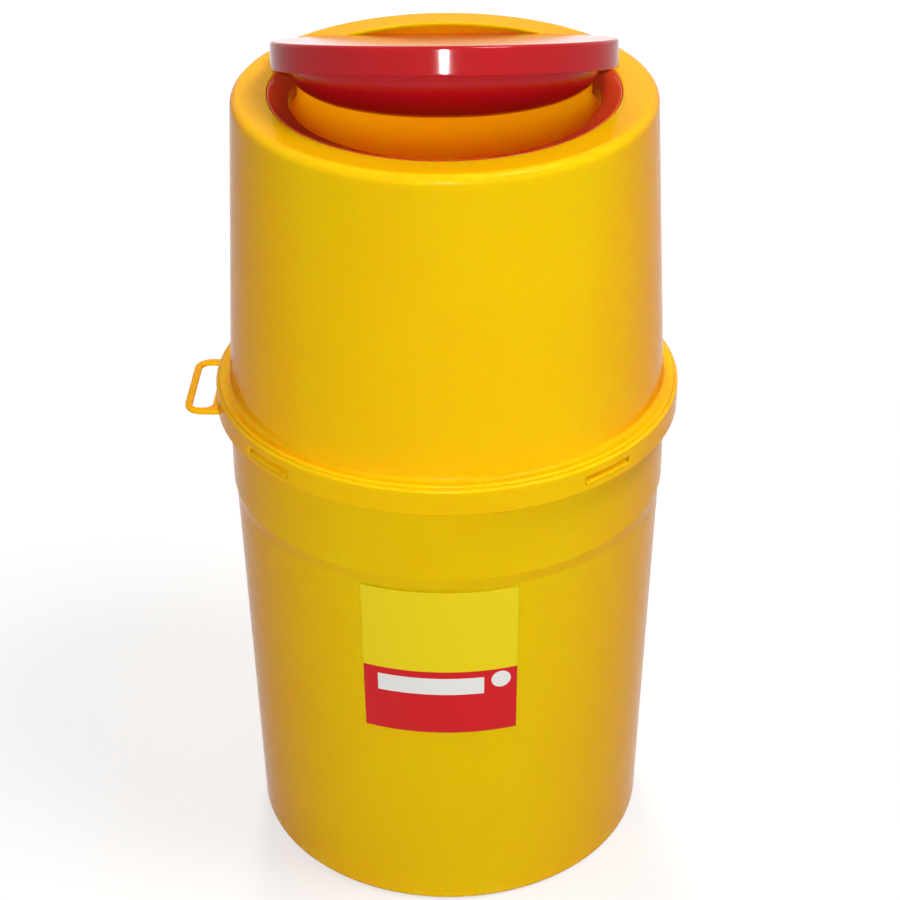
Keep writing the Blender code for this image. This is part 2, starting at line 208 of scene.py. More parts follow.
def turned(name, profile, plastic, closed=False, steps=TURN_STEPS):
    """Moulding turned about Z from its profile, by the tree above."""
    points = bpy.data.meshes.new(name)
    points.from_pydata([(r, 0.0, z) for r, z in profile], [], [])
    holder = hold(name, points)
    modifier = holder.modifiers.new("turned_moulding", 'NODES')
    modifier.node_group = MOULDING_TREE
    modifier[MOULDING_SOCKETS["Steps"]] = steps
    modifier[MOULDING_SOCKETS["Closed"]] = int(closed)
    modifier[MOULDING_SOCKETS["Plastic"]] = plastic
    return outward(evaluated_mesh(holder))


def combined(mesh, tool_mesh, operation):
    """Boolean of two closed meshes, as a new mesh."""
    tool = hold("tool", tool_mesh)
    holder = hold("shape", mesh)
    boolean = holder.modifiers.new("boolean", 'BOOLEAN')
    boolean.operation = operation
    boolean.solver = 'MANIFOLD'
    boolean.object = tool
    result = evaluated_mesh(holder)
    bpy.data.objects.remove(tool, do_unlink=True)
    return result


def finished(name, mesh, plastic, sharp_deg=32):
    """Finished piece at the origin, smooth but for its real edges."""
    mesh.name = name
    mesh.materials.clear()
    mesh.materials.append(plastic)
    mesh.shade_smooth()
    mesh.set_sharp_from_angle(angle=radians(sharp_deg))
    return hold(name, mesh)


def ring_tree():
    """Geometry Nodes that set copies of one shape at even angles about Z."""
    tree = bpy.data.node_groups.new("clip_ring", 'GeometryNodeTree')
    sockets = {}
    for name, kind in (("Clip", 'NodeSocketGeometry'), ("Count", 'NodeSocketInt'),
                       ("First Angle", 'NodeSocketFloat'), ("Plastic", 'NodeSocketMaterial')):
        sockets[name] = tree.interface.new_socket(name, in_out='INPUT', socket_type=kind).identifier
    tree.interface.new_socket("Clips", in_out='OUTPUT', socket_type='NodeSocketGeometry')
    given = add_node(tree, 'NodeGroupInput').outputs
    spots = add_node(tree, 'GeometryNodeMeshLine', {"Count": given["Count"], "Offset": (0, 0, 0)})
    index = add_node(tree, 'GeometryNodeInputIndex').outputs[0]
    pitch = add_node(tree, 'ShaderNodeMath', {0: 2 * pi, 1: given["Count"]}, operation='DIVIDE').outputs[0]
    angle = add_node(tree, 'ShaderNodeMath', {0: index, 1: pitch, 2: given["First Angle"]},
                     operation='MULTIPLY_ADD').outputs[0]
    rotation = add_node(tree, 'ShaderNodeCombineXYZ', {"Z": angle}).outputs[0]
    copies = add_node(tree, 'GeometryNodeInstanceOnPoints', {"Points": spots.outputs[0],
                                                             "Instance": given["Clip"], "Rotation": rotation})
    whole = add_node(tree, 'GeometryNodeRealizeInstances', {"Geometry": copies.outputs[0]})
    painted = add_node(tree, 'GeometryNodeSetMaterial', {"Geometry": whole.outputs[0],
                                                         "Material": given["Plastic"]})
    add_node(tree, 'NodeGroupOutput', {0: painted.outputs[0]})
    return tree, sockets


RING_TREE, RING_SOCKETS = ring_tree()
CLIP_COUNT = 4
CLIP_FIRST_DEG = -48.5
CLIP_WINDOW_DEG = 15.0
CLIP_SIDE_GAP_DEG = 0.6
CLIP_LUG_H = 0.0036
CLIP_RAMP = 0.0022
CLIP_SILL_RISE = 0.0042
CLIP_STEPS = 12
SKIRT_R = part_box("hood")[1][1]
SKIRT_LOW_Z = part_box("hood")[0][2]
WINDOW_LOW_Z = SKIRT_LOW_Z + CLIP_SILL_RISE


def swept(name, section, span_deg, steps):
    """Closed block: a (radius, height) section swept about Z, centred on the front."""
    bm = bmesh.new()
    rows = []
    for k in range(steps + 1):
        a = radians(-90 - span_deg / 2 + span_deg * k / steps)
        rows.append([bm.verts.new((r * cos(a), r * sin(a), z)) for r, z in section])
    count = len(section)
    for near, far in zip(rows, rows[1:]):
        for i in range(count):
            j = (i + 1) % count
            bm.faces.new((near[i], near[j], far[j], far[i]))
    bm.faces.new(rows[0])
    bm.faces.new(rows[-1][::-1])
    mesh = bpy.data.meshes.new(name)
    bm.to_mesh(mesh)
    bm.free()
    return outward(mesh)


def clip_ring(name, clip, plastic):
    """The four clips around the rim, from one, by the tree above."""
    holder = hold(name, clip)
    modifier = holder.modifiers.new("clip_ring", 'NODES')
    modifier.node_group = RING_TREE
    modifier[RING_SOCKETS["Count"]] = CLIP_COUNT
    modifier[RING_SOCKETS["First Angle"]] = radians(CLIP_FIRST_DEG)
    modifier[RING_SOCKETS["Plastic"]] = plastic
    return evaluated_mesh(holder)


def yellow_polypropylene():
    """Injection-moulded polypropylene, mass coloured yellow.

    A satin skin over slightly milky plastic: faint flow clouds, a fine mould grain, paler scuffs at the foot,
    and a painted shade of deeper orange where the wall is seen at a slant, so that the outlines read darker."""
    material = bpy.data.materials.new("yellow_polypropylene")
    material.use_nodes = True
    tree = material.node_tree
    shader = tree.nodes["Principled BSDF"]
    where = add_node(tree, 'ShaderNodeTexCoord').outputs["Object"]
    cloud_size, grain_size, scuff_size, scuff_top = 0.070, 0.0016, 0.006, 0.014
    clouds = add_node(tree, 'ShaderNodeTexNoise', {"Vector": where, "Scale": 1 / cloud_size, "Detail": 3.0})
    tint = add_node(tree, 'ShaderNodeMix', {0: clouds.outputs["Fac"], 6: linear(YELLOW_DEEP),
                                            7: linear(YELLOW_LIT)}, data_type='RGBA')
    height = add_node(tree, 'ShaderNodeSeparateXYZ', {0: where}).outputs["Z"]
    near_foot = add_node(tree, 'ShaderNodeMapRange', {"Value": height, "From Min": scuff_top,
                                                      "From Max": 0.0})
    scratches = add_node(tree, 'ShaderNodeTexNoise', {"Vector": where, "Scale": 1 / scuff_size, "Detail": 6.0,
                                                      "Roughness": 0.7})
    worn = add_node(tree, 'ShaderNodeMapRange', {"Value": scratches.outputs["Fac"], "From Min": 0.52,
                                                 "From Max": 0.68})
    scuffs = add_node(tree, 'ShaderNodeMath', {0: near_foot.outputs[0], 1: worn.outputs[0]},
                      operation='MULTIPLY').outputs[0]
    # Painted shade: the colour is mixed towards a deeper orange as the surface turns away from the view,
    # darkening the outlines.
    slant = add_node(tree, 'ShaderNodeLayerWeight').outputs["Facing"]
    edge_shade = add_node(tree, 'ShaderNodeMapRange', {"Value": slant, "From Min": 0.3, "From Max": 1.0})
    body_with_edge_shade = add_node(tree, 'ShaderNodeMix', {0: edge_shade.outputs[0], 6: tint.outputs[2],
                                            7: linear(YELLOW_EDGE_SHADE)}, data_type='RGBA')
    colour = add_node(tree, 'ShaderNodeMix', {0: scuffs, 6: body_with_edge_shade.outputs[2],
                                              7: linear(YELLOW_SCUFFED)}, data_type='RGBA')
    tree.links.new(colour.outputs[2], shader.inputs["Base Color"])
    satin = add_node(tree, 'ShaderNodeMapRange', {"Value": clouds.outputs["Fac"], "To Min": 0.17,
                                                  "To Max": 0.22})
    dulled = add_node(tree, 'ShaderNodeMath', {0: scuffs, 1: 0.15, 2: satin.outputs[0]},
                      operation='MULTIPLY_ADD')
    tree.links.new(dulled.outputs[0], shader.inputs["Roughness"])
    # The real mould grain is about a quarter of a millimetre and is drawn coarser, so that it shows.
    grain = add_node(tree, 'ShaderNodeTexNoise', {"Vector": where, "Scale": 1 / grain_size, "Detail": 2.0})
    bump = add_node(tree, 'ShaderNodeBump', {"Height": grain.outputs["Fac"], "Strength": 0.12,
                                             "Distance": 0.0002})
    tree.links.new(bump.outputs[0], shader.inputs["Normal"])
    shader.inputs["IOR"].default_value = 1.49
    shader.inputs["Specular IOR Level"].default_value = 0.04
    shader.inputs["Subsurface Weight"].default_value = 1.0
    shader.inputs["Subsurface Radius"].default_value = (1.0, 0.40, 0.05)
    shader.inputs["Subsurface Scale"].default_value = 0.012
    return material


YELLOW_PP = yellow_polypropylene()
FOOT_R = BASE_R - BASE_ROUND - FOOT_W
BUCKET_IN_R = BAND_R - BUCKET_WALL
BUCKET_PROFILE = rounded([
    (0, BUCKET_FLOOR_Z, 0), (BASE_R - BUCKET_WALL, BUCKET_FLOOR_Z, INNER_ROUND),
    (WAIST_R - BUCKET_WALL, BAND_Z, INNER_ROUND), (BUCKET_IN_R, BAND_Z + BAND_STEP_H, INNER_ROUND),
    (BUCKET_IN_R, BUCKET_RIM_Z, EDGE_ROUND), (BAND_R + RIM_W, BUCKET_RIM_Z, EDGE_ROUND),
    (BAND_R + RIM_W, BUCKET_RIM_Z - RIM_T, EDGE_ROUND), (BAND_R, BUCKET_RIM_Z - RIM_T, EDGE_ROUND),
    (BAND_R, BAND_Z + BAND_STEP_H, BAND_ROUND), (WAIST_R, BAND_Z, BAND_ROUND),
    (BASE_R, 0, BASE_ROUND), (FOOT_R, 0, EDGE_ROUND / 2), (FOOT_R - FOOT_H, FOOT_H, EDGE_ROUND / 2),
    (PAD_R + FOOT_H, FOOT_H, EDGE_ROUND / 2), (PAD_R, 0, EDGE_ROUND / 2), (GATE_R, 0, EDGE_ROUND / 4),
    (GATE_R, GATE_DEPTH, EDGE_ROUND / 4), (GATE_R / 4, GATE_DEPTH, EDGE_ROUND / 4),
    (GATE_R / 4, GATE_DEPTH / 4, EDGE_ROUND / 4), (0, GATE_DEPTH / 4, 0)])
LUG_LOW_Z = WINDOW_LOW_Z + FIT_GAP
LUG_HIGH_Z = LUG_LOW_Z + CLIP_LUG_H
LUG_ROOT_R = BAND_R - BUCKET_WALL / 2
LUG_SECTION = [(LUG_ROOT_R, LUG_LOW_Z), (SKIRT_R - FIT_GAP, LUG_LOW_Z),
               (SKIRT_R - FIT_GAP, LUG_HIGH_Z - CLIP_RAMP), (SKIRT_R - 2 * CLIP_RAMP, LUG_HIGH_Z),
               (LUG_ROOT_R, LUG_HIGH_Z)]
bucket_mesh = turned("bucket_shell", BUCKET_PROFILE, YELLOW_PP)
lug = swept("clip_lug", LUG_SECTION, CLIP_WINDOW_DEG - 2 * CLIP_SIDE_GAP_DEG, CLIP_STEPS)
bucket_mesh = combined(bucket_mesh, clip_ring("clip_lugs", lug, YELLOW_PP), 'UNION')
bucket = finished("bucket_shell", bucket_mesh, YELLOW_PP)
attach(bucket, "container")
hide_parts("bucket")


# Label: a sticker on the bucket's front, with a yellow field and a red one, a strip to write on and a dot.
# Printed vinyl film with a satin varnish, cut square and pressed on by hand, so it follows the wall.
LABEL_CENTRE_DEG = -2.5
LABEL_W = 0.099
LABEL_LOW_Z = 0.1475
LABEL_HIGH_Z = 0.2595
LABEL_T = 0.0004
LABEL_H = LABEL_HIGH_Z - LABEL_LOW_Z
RED_FIELD_H = 0.0495
STRIP_LEFT, STRIP_RIGHT = 0.0095, 0.0775
STRIP_LOW, STRIP_HIGH = 0.0312, 0.0442
DOT_X, DOT_Y, DOT_R = 0.0885, 0.0412, 0.0063
LABEL_YELLOW = "#D4BC08"
LABEL_RED = "#BC1219"
LABEL_WHITE = "#D2D1CE"


def printed_vinyl():
    """Printed vinyl film: flat inks with a faint press mottle under a satin varnish."""
    material = bpy.data.materials.new("printed_vinyl")
    material.use_nodes = True
    tree = material.node_tree
    shader = tree.nodes["Principled BSDF"]
    spot = add_node(tree, 'ShaderNodeTexCoord').outputs["UV"]
    across = add_node(tree, 'ShaderNodeSeparateXYZ', {0: spot}).outputs
    x = add_node(tree, 'ShaderNodeMath', {0: across["X"], 1: LABEL_W}, operation='MULTIPLY').outputs[0]
    y = add_node(tree, 'ShaderNodeMath', {0: across["Y"], 1: LABEL_H}, operation='MULTIPLY').outputs[0]
    in_red = add_node(tree, 'ShaderNodeMath', {0: y, 1: RED_FIELD_H}, operation='LESS_THAN').outputs[0]
    strip = in_red
    for value, edge, side in ((x, STRIP_LEFT, 'GREATER_THAN'), (x, STRIP_RIGHT, 'LESS_THAN'),
                              (y, STRIP_LOW, 'GREATER_THAN'), (y, STRIP_HIGH, 'LESS_THAN')):
        inside = add_node(tree, 'ShaderNodeMath', {0: value, 1: edge}, operation=side).outputs[0]
        strip = add_node(tree, 'ShaderNodeMath', {0: strip, 1: inside}, operation='MULTIPLY').outputs[0]
    place = add_node(tree, 'ShaderNodeCombineXYZ', {"X": x, "Y": y}).outputs[0]
    from_dot = add_node(tree, 'ShaderNodeVectorMath', {0: place, 1: (DOT_X, DOT_Y, 0)}, operation='DISTANCE')
    dot = add_node(tree, 'ShaderNodeMath', {0: from_dot.outputs["Value"], 1: DOT_R}, operation='LESS_THAN')
    blank = add_node(tree, 'ShaderNodeMath', {0: strip, 1: dot.outputs[0]}, operation='MAXIMUM').outputs[0]
    inks = add_node(tree, 'ShaderNodeMix', {0: in_red, 6: linear(LABEL_YELLOW),
                                            7: linear(LABEL_RED)}, data_type='RGBA')
    print_ = add_node(tree, 'ShaderNodeMix', {0: blank, 6: inks.outputs[2],
                                              7: linear(LABEL_WHITE)}, data_type='RGBA')
    mottle_size = 0.0022
    where = add_node(tree, 'ShaderNodeTexCoord').outputs["Object"]
    mottle = add_node(tree, 'ShaderNodeTexNoise', {"Vector": where, "Scale": 1 / mottle_size, "Detail": 2.0})
    weight = add_node(tree, 'ShaderNodeMapRange', {"Value": mottle.outputs["Fac"], "To Min": 0.97,
                                                   "To Max": 1.0})
    ink = add_node(tree, 'ShaderNodeMix', {0: 1.0, 6: print_.outputs[2],
                                           7: weight.outputs[0]}, data_type='RGBA', blend_type='MULTIPLY')
    tree.links.new(ink.outputs[2], shader.inputs["Base Color"])
    varnish = add_node(tree, 'ShaderNodeMapRange', {"Value": mottle.outputs["Fac"], "To Min": 0.30,
                                                    "To Max": 0.40})
    tree.links.new(varnish.outputs[0], shader.inputs["Roughness"])
    shader.inputs["IOR"].default_value = 1.5
    shader.inputs["Specular IOR Level"].default_value = 0.2
    return material


def label_sheet():
    """Film that follows the cone of the wall, with a UV map that runs across and up the print."""
    columns, rows = 40, 24
    bm = bmesh.new()
    layer = bm.loops.layers.uv.new("print")
    low_r = BASE_R + (WAIST_R - BASE_R) * (LABEL_LOW_Z - BASE_ROUND) / (BAND_Z - BASE_ROUND)
    span = LABEL_W / low_r
    grid = []
    for j in range(rows + 1):
        z = LABEL_LOW_Z + LABEL_H * j / rows
        r = BASE_R + (WAIST_R - BASE_R) * (z - BASE_ROUND) / (BAND_Z - BASE_ROUND) + FIT_GAP
        angles = [radians(LABEL_CENTRE_DEG - 90) + span * (i / columns - 0.5) for i in range(columns + 1)]
        grid.append([bm.verts.new((r * cos(a), r * sin(a), z)) for a in angles])
    for j in range(rows):
        for i in range(columns):
            corners = ((i, j), (i + 1, j), (i + 1, j + 1), (i, j + 1))
            face = bm.faces.new([grid[b][a] for a, b in corners])
            for loop, (a, b) in zip(face.loops, corners):
                loop[layer].uv = (a / columns, b / rows)
    mesh = bpy.data.meshes.new("label_film")
    bm.to_mesh(mesh)
    bm.free()
    holder = hold("label_film", mesh)
    solidify = holder.modifiers.new("film", 'SOLIDIFY')
    solidify.thickness = LABEL_T
    solidify.offset = 1.0
    return evaluated_mesh(holder)


VINYL = printed_vinyl()
label = finished("label_film", label_sheet(), VINYL)
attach(label, "container")
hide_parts("label_sticker")


# Hood: the upper half, pressed over the bucket's rim until its windows catch the lugs, and then left on.
# Polypropylene, injection moulded; its skirt carries the finger loop, and a groove marks the skirt off.
HOOD_TOP_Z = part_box("hood")[1][2]
HOOD_FOOT_R = 0.1412
HOOD_TOP_R = 0.1313
HOOD_WALL = 0.0025
HOOD_PLATE = 0.0028
HOOD_ROUND = 0.006
HOOD_FOOT_ROUND = 0.003
PLATE_ROUND = 0.004
LEDGE_ROUND = 0.0012
GROOVE_ROUND = 0.0005
LEDGE_T = 0.0036
LEDGE_W = 0.0071
GROOVE_D = 0.0018
SKIRT_WALL = 0.0022
SKIRT_ROUND = 0.0018
SPIGOT_WALL = 0.002
SPIGOT_H = 0.012
WINDOW_H = 0.0068
LOOP_DEG = -2.6
LOOP_REACH = 0.0193
LOOP_HALF = 0.0348
LOOP_BAR = 0.0048
LOOP_T = 0.0034
LOOP_ROUND = 0.0115
LOOP_EDGE = 0.0011
LOOP_ROOT_DEPTH = 0.00165
MOUTH_R = 0.1086
SEAT_Z = BUCKET_RIM_Z + FIT_GAP
LEDGE_Z = SEAT_Z + LEDGE_T
SKIRT_TOP_Z = LEDGE_Z - GROOVE_D


def hood_r(z):
    """Outer radius of the hood's wall."""
    return HOOD_FOOT_R + (HOOD_TOP_R - HOOD_FOOT_R) * (z - LEDGE_Z) / (HOOD_TOP_Z - LEDGE_Z)


def flat_plate(name, outlines, thickness, edge):
    """Plate with rounded edges, centred on z = 0, from 2-D outlines: first its edge, then its holes."""
    curve = bpy.data.curves.new(name, 'CURVE')
    curve.dimensions = '2D'
    curve.fill_mode = 'BOTH'
    curve.extrude = thickness / 2 - edge
    curve.bevel_depth = edge
    curve.bevel_resolution = 3
    curve.offset = -edge
    for outline in outlines:
        spline = curve.splines.new('POLY')
        spline.points.add(len(outline) - 1)
        for point, (x, y) in zip(spline.points, outline):
            point.co = (x, y, 0.0, 1.0)
        spline.use_cyclic_u = True
    holder = bpy.data.objects.new(name, curve)
    bpy.context.scene.collection.objects.link(holder)
    return outward(evaluated_mesh(holder))


def finger_loop():
    """The flat loop at the skirt's lower edge; its root lies inside the skirt's wall."""
    outer_x = -(SKIRT_R + LOOP_REACH)
    root_r = SKIRT_R - LOOP_ROOT_DEPTH
    root_deg = degrees(asin(LOOP_HALF / root_r))
    corner = (outer_x + LOOP_ROUND, LOOP_HALF - LOOP_ROUND)
    edge = arc(corner, LOOP_ROUND, 90, 180, 10)
    edge += arc((corner[0], -corner[1]), LOOP_ROUND, 180, 270, 10)
    edge += arc((0, 0), root_r, 180 + root_deg, 180 - root_deg, 12)
    near, far = -SKIRT_R - SKIRT_WALL / 2, outer_x + LOOP_BAR
    half, turn = LOOP_HALF - LOOP_BAR, LOOP_ROUND / 2
    hole = []
    for x, y, start in ((near - turn, half - turn, 0), (far + turn, half - turn, 90),
                        (far + turn, turn - half, 180), (near - turn, turn - half, 270)):
        hole += arc((x, y), turn, start, start + 90, 8)
    mesh = flat_plate("finger_loop", [edge, hole], LOOP_T, LOOP_EDGE)
    turned_about = Matrix.Rotation(radians(LOOP_DEG), 4, 'Z')
    mesh.transform(Matrix.Translation((0, 0, SKIRT_LOW_Z + LOOP_T / 2)) @ turned_about)
    return mesh


PLATE_Z = HOOD_TOP_Z - HOOD_PLATE
SPIGOT_R = BAND_R - BUCKET_WALL - FIT_GAP
SPIGOT_IN_R = SPIGOT_R - SPIGOT_WALL
SKIRT_IN_R = SKIRT_R - SKIRT_WALL
LEDGE_R = HOOD_FOOT_R + LEDGE_W
HOOD_PROFILE = rounded([
    (MOUTH_R + FIT_GAP, PLATE_Z, EDGE_ROUND / 2), (MOUTH_R + FIT_GAP, HOOD_TOP_Z, EDGE_ROUND),
    (HOOD_TOP_R, HOOD_TOP_Z, HOOD_ROUND), (HOOD_FOOT_R, LEDGE_Z, HOOD_FOOT_ROUND),
    (LEDGE_R, LEDGE_Z, LEDGE_ROUND), (LEDGE_R, SKIRT_TOP_Z, GROOVE_ROUND),
    (SKIRT_R, SKIRT_TOP_Z, SKIRT_ROUND), (SKIRT_R, SKIRT_LOW_Z, EDGE_ROUND),
    (SKIRT_IN_R, SKIRT_LOW_Z, EDGE_ROUND / 2), (SKIRT_IN_R, SEAT_Z, EDGE_ROUND / 2),
    (SPIGOT_R, SEAT_Z, EDGE_ROUND / 2), (SPIGOT_R, SEAT_Z - SPIGOT_H, EDGE_ROUND),
    (SPIGOT_IN_R, SEAT_Z - SPIGOT_H, EDGE_ROUND), (SPIGOT_IN_R, SEAT_Z, HOOD_FOOT_ROUND),
    (hood_r(PLATE_Z) - HOOD_WALL, PLATE_Z, PLATE_ROUND)], closed=True)
WINDOW_HIGH_Z = WINDOW_LOW_Z + WINDOW_H
WINDOW_SECTION = [(SKIRT_IN_R - SKIRT_WALL, WINDOW_LOW_Z), (SKIRT_R + SKIRT_WALL, WINDOW_LOW_Z),
                  (SKIRT_R + SKIRT_WALL, WINDOW_HIGH_Z), (SKIRT_IN_R - SKIRT_WALL, WINDOW_HIGH_Z)]
hood_mesh = turned("hood_shell", HOOD_PROFILE, YELLOW_PP, closed=True)
hood_mesh = combined(hood_mesh, finger_loop(), 'UNION')
window = swept("clip_window", WINDOW_SECTION, CLIP_WINDOW_DEG, CLIP_STEPS)
hood_mesh = combined(hood_mesh, clip_ring("clip_windows", window, YELLOW_PP), 'DIFFERENCE')
hood = finished("hood_shell", hood_mesh, YELLOW_PP)
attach(hood, "container")
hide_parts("hood")


# Collar: the horseshoe in the hood's mouth, which funnels sharps in and carries the lid between two lugs.
# Polypropylene, injection moulded in an orange red from a polished mould, and pressed in from below until its
# shoulder meets the hood's top; it is open behind, where the lid dips in.
LID_TILT = frame["record"]["behaviour"]["joints"][0]
PIVOT = Vector(LID_TILT["pos_m"])
REST_TILT = -radians(LID_TILT["range_deg"][0])
COLLAR_WALL = 0.002
COLLAR_H = 0.012
SHOULDER_W = 0.0039
SHOULDER_T = 0.0025
FUNNEL_W = 0.0128
FUNNEL_DROP = 0.0046
THROAT_H = 0.016
RELIEF_AHEAD = 0.014
COLLAR_END_BEHIND = 0.014
LID_R = 0.1059
LUG_HALF = 0.006
LUG_T = 0.0035
LUG_LID_GAP = 0.0013
LUG_PAD_T = 0.0025
LUG_PAD_W = 0.005
LUG_PAD_DEG = 10.0
LUG_PAD_STEP_DEG = 0.6
COLLAR_EDGE = 0.0006
COLLAR_FOOT_EDGE = 0.0005
LIP_ROUND = 0.0008
THROAT_ROUND = 0.0015
PIN_R = 0.0025
PIN_STEPS = 48
COLLAR_LIT = "#CE431E"
COLLAR_DEEP = "#C03B1A"


def red_polypropylene(name, lit, deep):
    """Injection-moulded polypropylene, mass coloured red, from a polished mould.

    Nearly mirror smooth: faint flow clouds in the colour and long soft waves in the gloss."""
    material = bpy.data.materials.new(name)
    material.use_nodes = True
    tree = material.node_tree
    shader = tree.nodes["Principled BSDF"]
    where = add_node(tree, 'ShaderNodeTexCoord').outputs["Object"]
    cloud_size, wave_size = 0.045, 0.012
    clouds = add_node(tree, 'ShaderNodeTexNoise', {"Vector": where, "Scale": 1 / cloud_size, "Detail": 3.0})
    tint = add_node(tree, 'ShaderNodeMix', {0: clouds.outputs["Fac"], 6: linear(deep),
                                            7: linear(lit)}, data_type='RGBA')
    tree.links.new(tint.outputs[2], shader.inputs["Base Color"])
    gloss = add_node(tree, 'ShaderNodeMapRange', {"Value": clouds.outputs["Fac"], "To Min": 0.09,
                                                  "To Max": 0.13})
    tree.links.new(gloss.outputs[0], shader.inputs["Roughness"])
    waves = add_node(tree, 'ShaderNodeTexNoise', {"Vector": where, "Scale": 1 / wave_size, "Detail": 1.0})
    bump = add_node(tree, 'ShaderNodeBump', {"Height": waves.outputs["Fac"], "Strength": 0.08,
                                             "Distance": 0.0006})
    tree.links.new(bump.outputs[0], shader.inputs["Normal"])
    shader.inputs["IOR"].default_value = 1.49
    shader.inputs["Specular IOR Level"].default_value = 0.2
    shader.inputs["Subsurface Weight"].default_value = 0.6
    shader.inputs["Subsurface Radius"].default_value = (1.0, 0.15, 0.1)
    shader.inputs["Subsurface Scale"].default_value = 0.006
    return material


def sector(inner, outer, centre_deg, span_deg, count=10):
    """Outline of a ring's sector, with angles measured about Z from the front, positive towards +X."""
    start = centre_deg - span_deg / 2 - 90
    end = start + span_deg
    return arc((0, 0), outer, start, end, count) + arc((0, 0), inner, end, start, count)


def raised(outlines, low_z, high_z, edge):
    """Plate between two heights."""
    mesh = flat_plate("plate", outlines, high_z - low_z, edge)
    mesh.transform(Matrix.Translation((0, 0, (low_z + high_z) / 2)))
    return mesh


def rod(radius, x0, x1, y, z):
    """Cylinder along X."""
    bm = bmesh.new()
    bmesh.ops.create_cone(bm, cap_ends=True, segments=PIN_STEPS, radius1=radius, radius2=radius,
                          depth=abs(x1 - x0))
    mesh = bpy.data.meshes.new("rod")
    bm.to_mesh(mesh)
    bm.free()
    mesh.transform(Matrix.Translation(((x0 + x1) / 2, y, z)) @ Matrix.Rotation(pi / 2, 4, 'Y'))
    return mesh


COLLAR_PP = red_polypropylene("collar_polypropylene", COLLAR_LIT, COLLAR_DEEP)
THROAT_R = MOUTH_R - FUNNEL_W
BAND_IN_R = MOUTH_R - COLLAR_WALL
FUNNEL_SLOPE = FUNNEL_DROP / FUNNEL_W
THROAT_OUT_R = THROAT_R + COLLAR_WALL
SHOULDER_Z = PLATE_Z - FIT_GAP
LIP_UNDER_Z = HOOD_TOP_Z - COLLAR_WALL - COLLAR_WALL * FUNNEL_SLOPE
LUG_X = sqrt(LID_R ** 2 - (PIVOT.y - LUG_HALF) ** 2) + LUG_LID_GAP
COLLAR_PROFILE = rounded([
    (MOUTH_R, HOOD_TOP_Z, COLLAR_EDGE), (MOUTH_R, SHOULDER_Z, COLLAR_EDGE / 3),
    (MOUTH_R + SHOULDER_W, SHOULDER_Z, COLLAR_EDGE),
    (MOUTH_R + SHOULDER_W, SHOULDER_Z - SHOULDER_T, COLLAR_EDGE),
    (MOUTH_R, SHOULDER_Z - SHOULDER_T, COLLAR_EDGE), (MOUTH_R, HOOD_TOP_Z - COLLAR_H, COLLAR_FOOT_EDGE),
    (BAND_IN_R, HOOD_TOP_Z - COLLAR_H, COLLAR_FOOT_EDGE),
    (BAND_IN_R, LIP_UNDER_Z - COLLAR_WALL * FUNNEL_SLOPE, COLLAR_EDGE),
    (THROAT_OUT_R, LIP_UNDER_Z - (MOUTH_R - THROAT_OUT_R) * FUNNEL_SLOPE, LIP_ROUND),
    (THROAT_OUT_R, HOOD_TOP_Z - THROAT_H, COLLAR_EDGE), (THROAT_R, HOOD_TOP_Z - THROAT_H, COLLAR_EDGE),
    (THROAT_R, HOOD_TOP_Z - FUNNEL_DROP, THROAT_ROUND)], closed=True)
collar_mesh = turned("inlet_collar", COLLAR_PROFILE, COLLAR_PP, closed=True)
relief_deg = degrees(asin((PIVOT.y - RELIEF_AHEAD) / BAND_IN_R))
relief = raised([arc((0, 0), BAND_IN_R, relief_deg, 180 - relief_deg, 60)], HOOD_TOP_Z - 2 * THROAT_H,
                HOOD_TOP_Z + THROAT_H, 0)
rear_r, rear_y = MOUTH_R + 2 * SHOULDER_W, PIVOT.y + COLLAR_END_BEHIND
rear = raised([[(-rear_r, rear_y), (rear_r, rear_y), (rear_r, rear_r), (-rear_r, rear_r)]],
              HOOD_TOP_Z - 2 * THROAT_H, HOOD_TOP_Z + THROAT_H, 0)
for tool in (relief, rear):
    collar_mesh = combined(collar_mesh, tool, 'DIFFERENCE')
PAD_Z = HOOD_TOP_Z + FIT_GAP
for side in (-1, 1):
    pad_deg = side * (90 + degrees(atan2(PIVOT.y, LUG_X + LUG_T)))
    foot = raised([sector(BAND_IN_R, MOUTH_R, pad_deg, LUG_PAD_DEG)], HOOD_TOP_Z - COLLAR_WALL,
                  PAD_Z + LUG_PAD_T, 0)
    pad = raised([sector(BAND_IN_R, BAND_IN_R + LUG_PAD_W, pad_deg, LUG_PAD_DEG - LUG_PAD_STEP_DEG)],
                 PAD_Z, PAD_Z + LUG_PAD_T - FIT_GAP, COLLAR_EDGE)
    ear_h = PIVOT.z - PAD_Z - LUG_PAD_T / 2
    ear_edge = arc((0, 0), LUG_HALF, 90, -90, 20) + [(-ear_h, -LUG_HALF), (-ear_h, LUG_HALF)]
    ear = flat_plate("pivot_lug", [ear_edge], LUG_T, COLLAR_EDGE)
    ear_x = side * (LUG_X + LUG_T / 2)
    ear.transform(Matrix.Translation((ear_x, PIVOT.y, PIVOT.z)) @ Matrix.Rotation(-pi / 2, 4, 'Y'))
    bore = rod(PIN_R + FIT_GAP, ear_x - LUG_T, ear_x + LUG_T, PIVOT.y, PIVOT.z)
    for tool, operation in ((foot, 'UNION'), (pad, 'UNION'), (ear, 'UNION'), (bore, 'DIFFERENCE')):
        collar_mesh = combined(collar_mesh, tool, operation)
collar = finished("inlet_collar", collar_mesh, COLLAR_PP)
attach(collar, "container")
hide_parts("collar_ring")


# Lid dish: the bowl under the lid, which keeps hands off the opening while the lid stands tilted.
# Polypropylene, injection moulded as a shallow shell with a flange that is pressed into the cap's rim.
LID_H = 0.017
DISH_MARGIN = 0.0119
DISH_DEPTH = 0.0302
DISH_FULLNESS = 2.25
DISH_WALL = 0.002
DISH_INSET = 0.0008
DISH_SEAT_W = 0.0028
RED_LIT = "#A80F16"
RED_DEEP = "#9B0C13"


